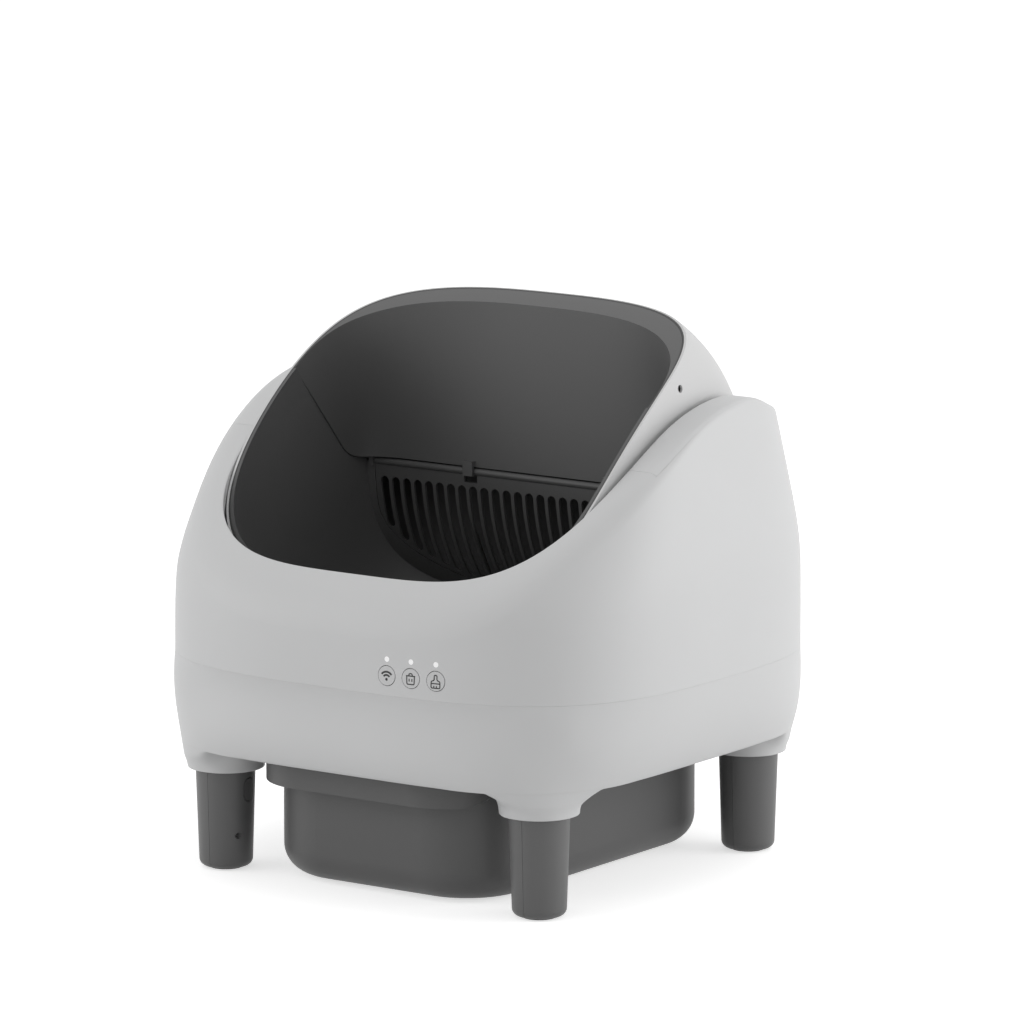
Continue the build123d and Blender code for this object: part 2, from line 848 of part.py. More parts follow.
def slot_bottom(x):
    share = min(1.0, abs(x) / sieve_half_width)
    return sieve_straight_z - sieve_curve_height * math.sqrt(1 - share ** 2) + slot_margin


def sieve_slots():
    slots = []
    for k in range(slot_count):
        x = (k - (slot_count - 1) / 2) * slot_pitch
        height = slot_top_z - slot_bottom(x)
        slots.append(Pos(x, slot_top_z - height / 2) * SlotOverall(height, slot_width, rotation=90))
    return slots


def sieve_strips():
    # One upright strip of the plate for each slot, the outer ones out to the sides
    edges = [(k - slot_count / 2) * slot_pitch for k in range(1, slot_count)]
    edges = [-sieve_half_width, *edges, sieve_half_width]
    height = hinge_z - sieve_straight_z + sieve_curve_height
    middle = hinge_z - height / 2
    return [Pos((a + b) / 2, middle) * Rectangle(b - a, height) for a, b in zip(edges, edges[1:])]


def sieve():
    # The plate is fused from strips, so that no curved face has more than one slot
    face = sieve_face(0)
    for side in side_names:
        notch_half = clip_width / 2 + clip_notch_gap
        notch_height = hinge_z - clip_notch_z
        face -= Pos(side * clip_x, clip_notch_z + notch_height / 2) * Rectangle(2 * notch_half, notch_height)
    inset = (liner_wall - sieve_wall) / 2
    wall = behind_wall(inset) - behind_wall(inset + sieve_wall)
    strips = []
    for strip, slot in zip(sieve_strips(), sieve_slots()):
        strips.append(through_wall((face & strip) - slot) & wall)
    bar = rod_x(hinge_barrel_radius, -sieve_half_width, sieve_half_width, hinge_y(), hinge_z)
    inner, outer = sieve_half_width - hinge_pin_inset, sieve_half_width + overrun
    bores = [rod_x(hinge_pin_radius, side * inner, side * outer, hinge_y(), hinge_z) for side in side_names]
    return bar.fuse(*strips).cut(*bores)


def hinge_pins():
    inner = sieve_half_width - hinge_pin_inset
    outer = inner + hinge_pin_length
    return Compound([rod_x(hinge_pin_radius, side * inner, side * outer, hinge_y(), hinge_z)
                     for side in side_names])


def sieve_clips():
    # Hooks on the hood liner that keep the sieve's hinge bar in its seat
    clips = []
    front = hinge_y() - hinge_barrel_radius - clip_gap - clip_wall
    level = seam_line_z() + seam_gap
    room = hood_room(0)
    for side in side_names:
        x0, x1 = side * clip_x - clip_width / 2, side * clip_x + clip_width / 2
        root = block(x0, x1, front, hinge_y(), level, level + clip_height) & room
        hook = block(x0, x1, front, front + clip_wall, hinge_z - hinge_barrel_radius, level)
        clips.append(root + hook)
    return Compound(clips)


def axle(side):
    end = drum_end_x()
    flange = rod_x(axle_flange_radius, side * end, side * (end + axle_flange), 0, drum_z)
    return flange + rod_x(axle_radius, side * end, side * axle_end_x, 0, drum_z)


# Drive

def gear_outline(teeth, first_angle):
    pitch, tip = pitch_radius(teeth), tip_radius(teeth)
    root = pitch - dedendum_share * gear_module
    base = pitch * math.cos(math.radians(pressure_angle))
    start = max(base, root)
    lead = math.tan(math.radians(pressure_angle)) - math.radians(pressure_angle)
    half = math.pi / 2 / teeth - backlash / 4 / pitch + lead

    def flank(radius):
        roll = math.acos(min(1.0, base / radius))
        return half - (math.tan(roll) - roll)

    radii = [start + (tip - start) * k / flank_steps for k in range(flank_steps + 1)]
    points = []
    for tooth in range(teeth):
        middle = math.radians(first_angle) + 2 * math.pi * tooth / teeth
        side = ([(root, flank(start))] if root < start else []) + [(r, flank(r)) for r in radii]
        points += [(r * math.cos(middle - a), r * math.sin(middle - a)) for r, a in side]
        points += [(r * math.cos(middle + a), r * math.sin(middle + a)) for r, a in reversed(side)]
    return make_face(Polyline(*points, close=True))


def gear_span():
    start = drum_end_x() + axle_flange + gear_offset
    return -start - gear_width, -start


def toothed(teeth, first_angle, y, z):
    x0, x1 = gear_span()
    return Pos(0, y, z) * extrude(Plane.YZ.offset(x0) * gear_outline(teeth, first_angle), amount=x1 - x0)


def drum_gear():
    x0, x1 = gear_span()
    hub = rod_x(axle_flange_radius, x1, x1 + gear_offset, 0, drum_z)
    bore = rod_x(axle_radius, x0, x1 + overrun, 0, drum_z)
    return toothed(gear_teeth, pinion_angle, 0, drum_z) + hub - bore


def pinion():
    y, z = pinion_centre()
    x0, x1 = gear_span()
    gear = toothed(pinion_teeth, pinion_angle + 180 + 180 / pinion_teeth, y, z)
    return gear - rod_x(shaft_radius, x0, x1, y, z)


def motor_shaft():
    y, z = pinion_centre()
    return rod_x(shaft_radius, -tower_outer_x - motor_length / 2, gear_span()[1], y, z)


def gear_motor():
    y, z = pinion_centre()
    case = block(-tower_outer_x - motor_length, -tower_outer_x, y - motor_depth / 2, y + motor_depth / 2,
                 z - motor_height / 2, z + motor_height / 2)
    case = fillet(case.edges().filter_by(Axis.X), motor_edge)
    return case - rod_x(shaft_radius + running_fit, -tower_outer_x - motor_length / 2, -tower_outer_x, y, z)


# Waste bin

def bin_face(grow):
    middle = (bin_front_y + bin_rear_y) / 2
    face = RectangleRounded(2 * (bin_half_width + grow), bin_rear_y - bin_front_y + 2 * grow,
                            bin_corner_radius + grow)
    return Pos(0, middle) * face


def waste_bin():
    body = Pos(0, 0, bin_floor_gap) * extrude(bin_face(0), amount=bin_top_z - bin_floor_gap)
    body = fillet(body.edges().group_by(Axis.Z)[0], bin_edge_radius)
    hollow = Pos(0, 0, bin_floor_gap + bin_wall) * extrude(bin_face(-bin_wall), amount=bin_top_z)
    hollow = fillet(hollow.edges().group_by(Axis.Z)[0], bin_edge_radius - bin_wall)
    rim = Pos(0, 0, bin_rim_z) * extrude(bin_face(bin_rim) - bin_face(-bin_wall), amount=bin_rim_height)
    return body - hollow + rim


def lip_face(grow):
    rear = bin_front_y + lip_corner_radius + lip_proud
    front = bin_front_y - lip_proud
    depth = rear - front + lip_corner_radius
    face = RectangleRounded(2 * (lip_half_width + grow), depth + 2 * grow, lip_corner_radius + grow)
    return Pos(0, front + depth / 2) * face


def bin_lip():
    # A curved pull in front of the bin, joined to its rim by a shelf
    height = lip_top_z - lip_bottom_z
    plate = Pos(0, 0, lip_bottom_z) * extrude(lip_face(0) - lip_face(-lip_wall), amount=height)
    shelf = Pos(0, 0, bin_rim_z) * extrude(lip_face(-lip_wall) - bin_face(bin_rim), amount=bin_rim_height)
    reach = case_half_depth
    front = Pos(0, 0, lip_bottom_z) * extrude(
        Plane.XZ * RectangleRounded(2 * lip_half_width, 2 * height, lip_edge_radius), amount=reach)
    front = Pos(0, 0, height) * front
    limits = block(-case_half_width, case_half_width, -case_half_depth, -leg_y - lip_clearance,
                   lip_bottom_z, lip_top_z)
    return ((plate + shelf) & front & limits) - [boss(i, -1, lip_clearance) for i in side_names]


def bin_rail(side):
    web0 = bin_half_width + bin_rim + rail_gap
    foot0 = bin_half_width + rail_gap
    low_z = bin_rim_z - rail_gap - rail_wall
    xs = sorted((side * web0, side * (web0 + rail_wall)))
    web = block(*xs, -rail_half_length, rail_half_length, low_z, frame_z)
    xs = sorted((side * foot0, side * (web0 + rail_wall)))
    return web + block(*xs, -rail_half_length, rail_half_length, low_z, low_z + rail_wall)


# Front controls

def push_button(whole, x):
    radius = button_hole_radius - button_gap
    back = button_seat(x)
    stem = rod_y(radius, back, -case_half_depth - overrun, x, button_z) & whole
    flange_radius = button_hole_radius + button_flange
    return stem + rod_y(flange_radius, back, back + button_flange_height, x, button_z)


def light_pipe(whole, x):
    front, back = -case_half_depth - overrun, board_y() - board_wall / 2
    return rod_y(light_radius, front, back, x, button_z + light_rise) & whole


def light_pipes(whole):
    return Compound([light_pipe(whole, x) for x in button_places()])


def button_board():
    y = board_y()
    return block(button_x - board_half_width, button_x + board_half_width, y, y + board_wall,
                 button_z - board_below, button_z + board_above)


def button_switches():
    y = board_y()
    rise = button_flange_height + button_travel + switch_gap
    return Compound([block(x - switch_half_width, x + switch_half_width, button_seat(x) + rise, y,
                           button_z - switch_half_width, button_z + switch_half_width)
                     for x in button_places()])


def parts():
    whole, hollow = upper_block(), upper_hollow()
    yield "upper_case", upper_case(whole, hollow)
    for side, name in side_names.items():
        yield f"{name}_ear_cap", ear_cap(whole, hollow, side)
    yield "lower_case", lower_case()
    yield "inner_frame", inner_frame()
    yield "frame_screws", frame_screws()
    inner, outer = leg_halves()
    button, pad = leg_button(), foot_pad()
    for (i, j), name in corner_names.items():
        yield f"{name}_leg_inner", at_leg(inner, i, j)
        yield f"{name}_leg_outer", at_leg(outer, i, j)
        yield f"{name}_leg_button", at_leg(button, i, j)
        yield f"{name}_foot_pad", at_leg(pad, i, j)
    yield "leg_screws", Compound([at_leg(leg_screw(), i, j) for i, j in corners])
    for side, name in side_names.items():
        yield f"{name}_bearing_bush", bearing_bush(side)
        yield f"{name}_axle", axle(side)
        yield f"{name}_bin_rail", bin_rail(side)
    yield "control_board", control_board()
    yield "power_inlet", power_inlet()
    yield "gear_motor", gear_motor()
    yield "motor_shaft", motor_shaft()
    yield "pinion", pinion()
    yield "drum_gear", drum_gear()
    yield "drum_shell", drum_shell()
    yield "hood_liner", hood_liner()
    yield "bowl_liner", bowl_liner()
    yield "drum_screws", drum_screws()
    yield "sieve", sieve()
    yield "sieve_hinge_pins", hinge_pins()
    yield "sieve_clips", sieve_clips()
    yield "waste_bin", waste_bin()
    yield "bin_pull_lip", bin_lip()
    yield "button_board", button_board()
    yield "button_switches", button_switches()
    yield "status_lights", light_pipes(whole)
    for name, x in zip(("wireless", "empty", "clean"), button_places()):
        yield f"{name}_button", push_button(whole, x)


os.makedirs("parts", exist_ok=True)
for name, shape in parts():
    export_step(shape, f"parts/{name}.step")
    print(name)
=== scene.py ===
import bpy
import json
import math
from mathutils import Matrix, Vector


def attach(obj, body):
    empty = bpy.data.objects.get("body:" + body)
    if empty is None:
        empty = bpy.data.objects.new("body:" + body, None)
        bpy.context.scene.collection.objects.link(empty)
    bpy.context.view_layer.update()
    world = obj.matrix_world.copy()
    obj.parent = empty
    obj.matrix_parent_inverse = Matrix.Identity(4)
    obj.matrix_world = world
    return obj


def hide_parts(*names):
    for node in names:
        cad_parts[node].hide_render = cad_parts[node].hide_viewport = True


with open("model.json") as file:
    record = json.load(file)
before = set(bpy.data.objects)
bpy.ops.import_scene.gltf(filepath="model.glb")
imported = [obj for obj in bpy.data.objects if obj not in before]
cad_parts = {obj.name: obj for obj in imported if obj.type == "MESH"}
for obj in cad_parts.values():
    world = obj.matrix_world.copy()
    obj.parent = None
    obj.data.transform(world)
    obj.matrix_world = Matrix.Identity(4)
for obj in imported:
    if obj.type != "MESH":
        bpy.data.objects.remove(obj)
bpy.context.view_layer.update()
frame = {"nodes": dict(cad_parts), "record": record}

scene = bpy.context.scene
scene.view_settings.view_transform = "Standard"
print("frame loaded:", len(frame["nodes"]), "nodes")


# shader maths: a socket that adds, subtracts, multiplies and compares
class Val:
    def __init__(self, paint, socket):
        self.paint, self.socket = paint, socket

    def calc(self, operation, a, b):
        return self.paint.add("ShaderNodeMath", {"operation": operation}, {0: a, 1: b})

    def __add__(self, other): return self.calc("ADD", self, other)
    def __radd__(self, other): return self.calc("ADD", other, self)
    def __sub__(self, other): return self.calc("SUBTRACT", self, other)
    def __rsub__(self, other): return self.calc("SUBTRACT", other, self)
    def __mul__(self, other): return self.calc("MULTIPLY", self, other)
    def __rmul__(self, other): return self.calc("MULTIPLY", other, self)
    def __truediv__(self, other): return self.calc("DIVIDE", self, other)
    def __gt__(self, other): return self.calc("GREATER_THAN", self, other)
    def __lt__(self, other): return self.calc("LESS_THAN", self, other)
    def power(self, other): return self.calc("POWER", self, other)


# the node tree of a new material, or of the world that is given
class Paint:
    def __init__(self, name, owner=None):
        self.material = owner or bpy.data.materials.new(name)
        self.material.use_nodes = True
        self.tree = self.material.node_tree
        self.shader = self.tree.nodes["Background" if owner else "Principled BSDF"]

    # any node: its type, its settings, then its sockets' values or links
    def add(self, kind, settings=None, sockets=None, out=0):
        node = self.tree.nodes.new(kind)
        for key, value in (settings or {}).items():
            setattr(node, key, value)
        for key, value in (sockets or {}).items():
            self.feed(node.inputs[key], value)
        return Val(self, node.outputs[out])

    def feed(self, socket, value):
        if isinstance(value, Val):
            self.tree.links.new(value.socket, socket)
        else:
            socket.default_value = value

    def set(self, **sockets):
        for key, value in sockets.items():
            self.feed(self.shader.inputs[key.replace("_", " ")], value)
        return self

    def place(self):
        return self.add("ShaderNodeTexCoord", out="Object")

    def noise(self, scale, detail=2.0, roughness=0.5):
        sockets = {"Vector": self.place(), "Scale": scale, "Detail": detail, "Roughness": roughness}
        return self.add("ShaderNodeTexNoise", None, sockets)

    # in a mix node's list, inputs 6 and 7 are the two colours and output 2 is the mixed one
    def blend(self, factor, a, b):
        return self.add("ShaderNodeMix", {"data_type": "RGBA"}, {0: factor, 6: a, 7: b}, out=2)

    def bump(self, height, strength, distance):
        return self.add("ShaderNodeBump", None, {"Height": height, "Strength": strength, "Distance": distance})

    # one where the camera sees a surface, straight, in a gloss or through glass
    def seen(self):
        rays = self.add("ShaderNodeLightPath").socket.node
        camera, glossy, clear = [Val(self, rays.outputs[f"Is {kind} Ray"])
                                 for kind in ("Camera", "Glossy", "Transmission")]
        return camera + glossy + clear


def grey(level, warm=0.0):
    return (level * (1 + warm), level, level * (1 - warm), 1.0)


# moulded plastic: fine spark texture, slow tone drift, a little uneven gloss
plastic = {
    "toneScale": 9.0, "speckScale": 1400.0, "fineScale": 2600.0, "toneShare": 0.7, "speckShare": 0.6,
    "roughDrop": 0.06, "roughTone": 0.07, "roughSpeck": 0.05, "grain": 0.00006, "bump": 0.35, "ior": 1.46,
}


def plasticTone(paint):
    tone, speck = paint.noise(plastic["toneScale"], 3.0), paint.noise(plastic["speckScale"])
    return tone, speck, tone * plastic["toneShare"] + speck * (1 - plastic["toneShare"])


def unevenGloss(roughness, tone, speck):
    return roughness - plastic["roughDrop"] + tone * plastic["roughTone"] + speck * plastic["roughSpeck"]


def mouldedPlastic(name, level, roughness, grain=plastic["grain"], warm=0.0, drift=0.03, glow=0.0):
    paint = Paint(name)
    tone, speck, mixed = plasticTone(paint)
    fine = paint.noise(plastic["fineScale"], 1.0)
    colour = paint.blend(mixed, grey(level * (1 - drift), warm), grey(level * (1 + drift), warm))
    height = speck * plastic["speckShare"] + fine * (1 - plastic["speckShare"])
    paint.set(Base_Color=colour, Roughness=unevenGloss(roughness, tone, speck), IOR=plastic["ior"],
              Normal=paint.bump(height, plastic["bump"], grain), Emission_Color=grey(1.0), Emission_Strength=glow)
    return paint.material


# rubber: matt, with dust held in its pores
rubber = {"poreScale": 900.0, "poreRough": 0.65, "dustScale": 40.0, "dustShare": 0.6, "dark": 0.75, "light": 1.5,
          "roughness": 0.72, "roughPores": 0.2, "bump": 0.5, "depth": 0.00012, "ior": 1.5}


def softRubber(name, level):
    r = rubber
    paint = Paint(name)
    pores, dust = paint.noise(r["poreScale"], 4.0, r["poreRough"]), paint.noise(r["dustScale"], 3.0)
    mixed = dust * r["dustShare"] + pores * (1 - r["dustShare"])
    paint.set(Base_Color=paint.blend(mixed, grey(level * r["dark"]), grey(level * r["light"])), IOR=r["ior"],
              Roughness=r["roughness"] + pores * r["roughPores"], Normal=paint.bump(pores, r["bump"], r["depth"]))
    return paint.material


# zinc plated steel: drawn lines, cloudy plating, scuffs that dull the gloss
steel = {"cloudScale": 160.0, "cloudRough": 0.6, "drawnScale": 900.0, "dark": (0.52, 0.53, 0.55, 1.0),
         "light": (0.68, 0.68, 0.67, 1.0), "roughness": 0.26, "roughCloud": 0.2, "roughDrawn": 0.06,
         "bump": 0.15, "depth": 0.00003}


def platedSteel(name):
    s = steel
    paint = Paint(name)
    cloud = paint.noise(s["cloudScale"], 4.0, s["cloudRough"])
    lines = {"Vector": paint.place(), "Scale": s["drawnScale"], "Distortion": 2.0, "Detail": 2.0}
    drawn = paint.add("ShaderNodeTexWave", {"bands_direction": "Z"}, lines)
    paint.set(Base_Color=paint.blend(cloud, s["dark"], s["light"]), Metallic=1.0,
              Roughness=s["roughness"] + cloud * s["roughCloud"] + drawn * s["roughDrawn"],
              Normal=paint.bump(drawn, s["bump"], s["depth"]))
    return paint.material


# acetal: milky, slightly warm, with flow marks from the mould
acetal = {"flowScale": 55.0, "fineScale": 1200.0, "dark": (0.66, 0.64, 0.58, 1.0), "light": (0.76, 0.74, 0.69, 1.0),
          "roughness": 0.30, "roughFlow": 0.12, "bump": 0.2, "depth": 0.00003, "ior": 1.48}


def naturalAcetal(name):
    a = acetal
    paint = Paint(name)
    flow, fine = paint.noise(a["flowScale"], 3.0), paint.noise(a["fineScale"])
    paint.set(Base_Color=paint.blend(flow, a["dark"], a["light"]), Roughness=a["roughness"] + flow * a["roughFlow"],
              Normal=paint.bump(fine, a["bump"], a["depth"]), IOR=a["ior"])
    return paint.material


# circuit board: green solder mask over copper tracks
board = {"trackScale": 70.0, "trackShift": 0.37, "trackWidth": 0.06, "padLevel": 0.2, "cloudScale": 300.0,
         "dark": (0.015, 0.13, 0.055, 1.0), "light": (0.03, 0.19, 0.08, 1.0), "track": (0.05, 0.28, 0.13, 1.0),
         "roughness": 0.28, "roughCloud": 0.12, "bump": 0.4, "depth": 0.00004, "coat": 0.2}


def solderMask(name):
    b = board
    paint = Paint(name)
    bricks = {"Vector": paint.place(), "Scale": b["trackScale"], "Mortar Size": b["trackWidth"],
              "Color1": grey(0.0), "Color2": grey(b["padLevel"]), "Mortar": grey(1.0)}
    tracks = paint.add("ShaderNodeTexBrick", {"offset": b["trackShift"]}, bricks)
    cloud = paint.noise(b["cloudScale"], 3.0)
    mask = paint.blend(cloud, b["dark"], b["light"])
    paint.set(Base_Color=paint.blend(tracks, mask, b["track"]), Roughness=b["roughness"] + cloud * b["roughCloud"],
              Normal=paint.bump(tracks, b["bump"], b["depth"]), Coat_Weight=b["coat"])
    return paint.material


# the drum's shell: light outside, dark on the face behind the sieve, told apart by its barrel shape
barrel = {"halfWidth": 0.226, "radius": 0.224, "widthPower": 2.8, "radiusPower": 5.2, "axisZ": 0.3805,
          "inside": 0.972, "roughness": 0.50, "lightDrift": 0.03, "darkDrift": 0.1}


def shellWithDarkInside(name, level, dark):
    b = barrel
    paint = Paint(name)
    axes = paint.add("ShaderNodeSeparateXYZ", None, {0: paint.place()}).socket.node
    x, y, z = [Val(paint, socket) for socket in axes.outputs]
    z = z - b["axisZ"]
    radius = (y * y + z * z).power(0.5)
    fill = ((x * x).power(0.5) / b["halfWidth"]).power(b["widthPower"])
    fill = fill + (radius / b["radius"]).power(b["radiusPower"])
    tone, speck, mixed = plasticTone(paint)
    light = paint.blend(mixed, grey(level * (1 - b["lightDrift"])), grey(level * (1 + b["lightDrift"])))
    inner = paint.blend(mixed, grey(dark * (1 - b["darkDrift"])), grey(dark * (1 + b["darkDrift"])))
    paint.set(Base_Color=paint.blend(fill > b["inside"], inner, light), IOR=plastic["ior"],
              Roughness=unevenGloss(b["roughness"], tone, speck),
              Normal=paint.bump(speck, plastic["bump"], plastic["grain"]))
    return paint.material


finishes = {
    "shell_light": mouldedPlastic("shellLight", 0.62, 0.50, warm=-0.004),
    "trim_light": mouldedPlastic("trimLight", 0.63, 0.48, warm=-0.004),
    "button_light": mouldedPlastic("buttonLight", 0.60, 0.42, warm=-0.004),
    "light_lens": mouldedPlastic("lightLens", 0.86, 0.25, grain=0.00001, drift=0.01, glow=0.19),
    "leg_dark": mouldedPlastic("legDark", 0.115, 0.46),
    "leg_button_dark": mouldedPlastic("legButtonDark", 0.10, 0.42),
    "bin_dark": mouldedPlastic("binDark", 0.095, 0.48),
    "liner_dark": mouldedPlastic("linerDark", 0.10, 0.50),
    "sieve_dark": mouldedPlastic("sieveDark", 0.09, 0.45),
    "pad_rubber": softRubber("padRubber", 0.035),
    "screw_steel": platedSteel("screwSteel"),
    "frame_plastic": mouldedPlastic("framePlastic", 0.20, 0.55, grain=0.00009),
    "gear_plastic": naturalAcetal("gearPlastic"),
    "board_green": solderMask("boardGreen"),
    "black_plastic": mouldedPlastic("blackPlastic", 0.03, 0.45),
}
printedInk = mouldedPlastic("printedInk", 0.022, 0.45, grain=0.00001)
drumPlastic = shellWithDarkInside("drumPlastic", 0.62, 0.05)
slotOf = {s["node"]: s["material_slot"] for s in frame["record"]["subparts"]}
for nodeName, obj in frame["nodes"].items():
    obj.data.materials.clear()
    obj.data.materials.append(drumPlastic if nodeName == "drum_shell" else finishes[slotOf[nodeName]])
print("CAD nodes dressed")


# modelling helpers
def clearSelection():
    if bpy.context.object and bpy.context.object.mode != "OBJECT":
        bpy.ops.object.mode_set(mode="OBJECT")
    bpy.ops.object.select_all(action="DESELECT")


def makeActive(obj):
    clearSelection()
    obj.select_set(True)
    bpy.context.view_layer.objects.active = obj


def pickFaces(obj, test):
    makeActive(obj)
    bpy.ops.object.mode_set(mode="EDIT")
    bpy.ops.mesh.select_mode(type="FACE")
    bpy.ops.mesh.select_all(action="DESELECT")
    bpy.ops.object.mode_set(mode="OBJECT")
    for face in obj.data.polygons:
        face.select = test(face)
    bpy.ops.object.mode_set(mode="EDIT")


def applyModifier(obj, kind, **settings):
    makeActive(obj)
    modifier = obj.modifiers.new(kind.lower(), kind)
    for key, value in settings.items():
        setattr(modifier, key, value)
    bpy.ops.object.modifier_apply(modifier=modifier.name)


mergeDistance = 0.00001


def turnOutward(obj):
    makeActive(obj)
    bpy.ops.object.mode_set(mode="EDIT")
    bpy.ops.mesh.select_all(action="SELECT")
    bpy.ops.mesh.remove_doubles(threshold=mergeDistance)
    bpy.ops.mesh.normals_make_consistent(inside=False)
    bpy.ops.object.mode_set(mode="OBJECT")


def joinAll(parts):
    makeActive(parts[0])
    for part in parts:
        part.select_set(True)
    bpy.ops.object.join()
    return bpy.context.object


# a grid whose points follow place(u, w); seams that meet are merged
def skin(name, columns, rows, place):
    clearSelection()
    bpy.ops.mesh.primitive_grid_add(x_subdivisions=columns, y_subdivisions=rows, size=2)
    obj = bpy.context.object
    obj.name = obj.data.name = name
    for vertex in obj.data.vertices:
        vertex.co = place((vertex.co.x + 1) / 2, (vertex.co.y + 1) / 2)
    turnOutward(obj)
    return obj


# a skin whose columns stand round the origin, each worked out once
def columnSkin(name, count, column):
    made = [column(2 * math.pi * k / count) for k in range(count)]
    rows = len(made[0]) - 1
    return skin(name, count, rows, lambda u, w: made[round(u * count) % count][round(w * rows)])


def smooth(obj, degrees=32):
    makeActive(obj)
    bpy.ops.object.shade_smooth_by_angle(angle=math.radians(degrees))


# inset and rise of a rounded edge, from the wall round to the end face
def roundedEdge(radius):
    turns = [math.radians(bend) for bend in (30, 60, 90)]
    return [(radius * (1 - math.cos(turn)), radius * (1 - math.sin(turn))) for turn in turns]


def cutWith(obj, tools):
    for tool in tools:
        applyModifier(obj, "BOOLEAN", operation="DIFFERENCE", solver="EXACT", object=tool)
    clearSelection()
    for tool in tools:
        tool.select_set(True)
    bpy.ops.object.delete()


def rod(radius, length, at, axis, sides=64):
    clearSelection()
    turn = {"x": (0, math.pi / 2, 0), "y": (math.pi / 2, 0, 0)}[axis]
    bpy.ops.mesh.primitive_cylinder_add(vertices=sides, radius=radius, depth=length, location=at, rotation=turn)
    obj = bpy.context.object
    bpy.ops.object.transform_apply(location=True, rotation=True, scale=True)
    return obj


def handIn(obj, name, body, slot, *nodes):
    obj.name = obj.data.name = name
    obj.data.materials.clear()
    obj.data.materials.append(finishes[slot])
    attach(obj, body)
    if nodes:
        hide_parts(*nodes)


def ramp(t, soft):
    return (t + math.sqrt(t * t + soft * soft)) / 2


def ease(a, b, t):
    s = min(1.0, max(0.0, (t - a) / (b - a)))
    return s * s * (3 - 2 * s)


# smooth line through points: cubic pieces, slopes from the neighbours
def lineThrough(points, t):
    k = max(0, min(len(points) - 2, sum(p[0] <= t for p in points) - 1))
    slopes = []
    for i in (k, k + 1):
        a, b = points[max(0, i - 1)], points[min(len(points) - 1, i + 1)]
        slopes.append((b[1] - a[1]) / (b[0] - a[0]))
    (x0, y0), (x1, y1) = points[k], points[k + 1]
    h = x1 - x0
    s = (t - x0) / h
    return (y0 * (1 + 2 * s) * (1 - s) ** 2 + y1 * s * s * (3 - 2 * s)
            + slopes[0] * h * s * (1 - s) ** 2 - slopes[1] * h * s * s * (1 - s))


def superReach(angle, halfWidth, halfDepth, power):
    wide = (abs(math.cos(angle)) / halfWidth) ** power
    deep = (abs(math.sin(angle)) / halfDepth) ** power
    return (wide + deep) ** (-1 / power)


# upper case: one skin up the wall, over the crease, across the band and down the well
# its ear line is the height of the sides' tops from front to rear
upperCase = {
    "halfWidth": 0.290, "halfDepth": 0.268, "power": 3.2, "topPower": 2.9, "top": 0.500, "bottom": 0.2211,
    "sideFrom": 0.336, "sideLean": 0.163, "frontFrom": 0.310, "frontLean": 0.62,
    "rearFrom": 0.343, "rearLean": 0.15, "leanSoft": 0.024,
    "wellHalfWidth": 0.231, "wellHalfDepth": 0.229, "wellPower": 3.7,
    "earLine": [(-0.3206, 0.2432), (-0.229, 0.331), (-0.1603, 0.387), (-0.0847, 0.4361), (0.0, 0.4764),
                (0.085, 0.489), (0.1617, 0.4692), (0.2192, 0.460), (0.298, 0.436)],
    "wall": 0.003, "columns": 400, "wallRows": 34, "bandRows": 8, "wellRows": 8,
    "earCrease": 0.0065, "frontCrease": 0.024, "rearCrease": 0.012, "wellEdge": 0.0025,
    "frontEase": (0.02, -0.235), "rearEase": (0.15, 0.24), "creaseShare": 0.62,
    "creaseSteps": (0.0, 0.12, 0.25, 0.37, 0.494, 0.506, 0.63, 0.75, 0.88, 1.0), "edgeSteps": (0.0, 0.3, 0.6, 1.0),
    "capFront": -0.084, "capRear": 0.150, "capDepth": 0.0035, "capGap": 0.0002, "capStep": 5, "gapShare": 0.6,
    "rimBetween": (0.25, 0.52), "rimHalvings": 40,
}


# height above the start of a lean, zero at the parting line
def leanAt(z, start):
    return ramp(z - start, upperCase["leanSoft"]) - ramp(upperCase["bottom"] - start, upperCase["leanSoft"])


def caseReach(angle, z):
    u = upperCase
    end = "front" if math.sin(angle) < 0 else "rear"
    halfWidth = u["halfWidth"] - u["sideLean"] * leanAt(z, u["sideFrom"])
    halfDepth = u["halfDepth"] - u[end + "Lean"] * leanAt(z, u[end + "From"])
    share = max(0.0, z - u["frontFrom"]) / (u["top"] - u["frontFrom"])
    return superReach(angle, halfWidth, halfDepth, u["power"] + share * (u["topPower"] - u["power"]))


def earHeight(y):
    return lineThrough(upperCase["earLine"], y)


def rimHeight(angle):
    low, high = upperCase["rimBetween"]
    for _ in range(upperCase["rimHalvings"]):
        z = (low + high) / 2
        below = z < earHeight(caseReach(angle, z) * math.sin(angle))
        low, high = (z, high) if below else (low, z)
    return z


def bezier(a, b, c, t):
    return a * (1 - t) ** 2 + b * 2 * t * (1 - t) + c * t ** 2


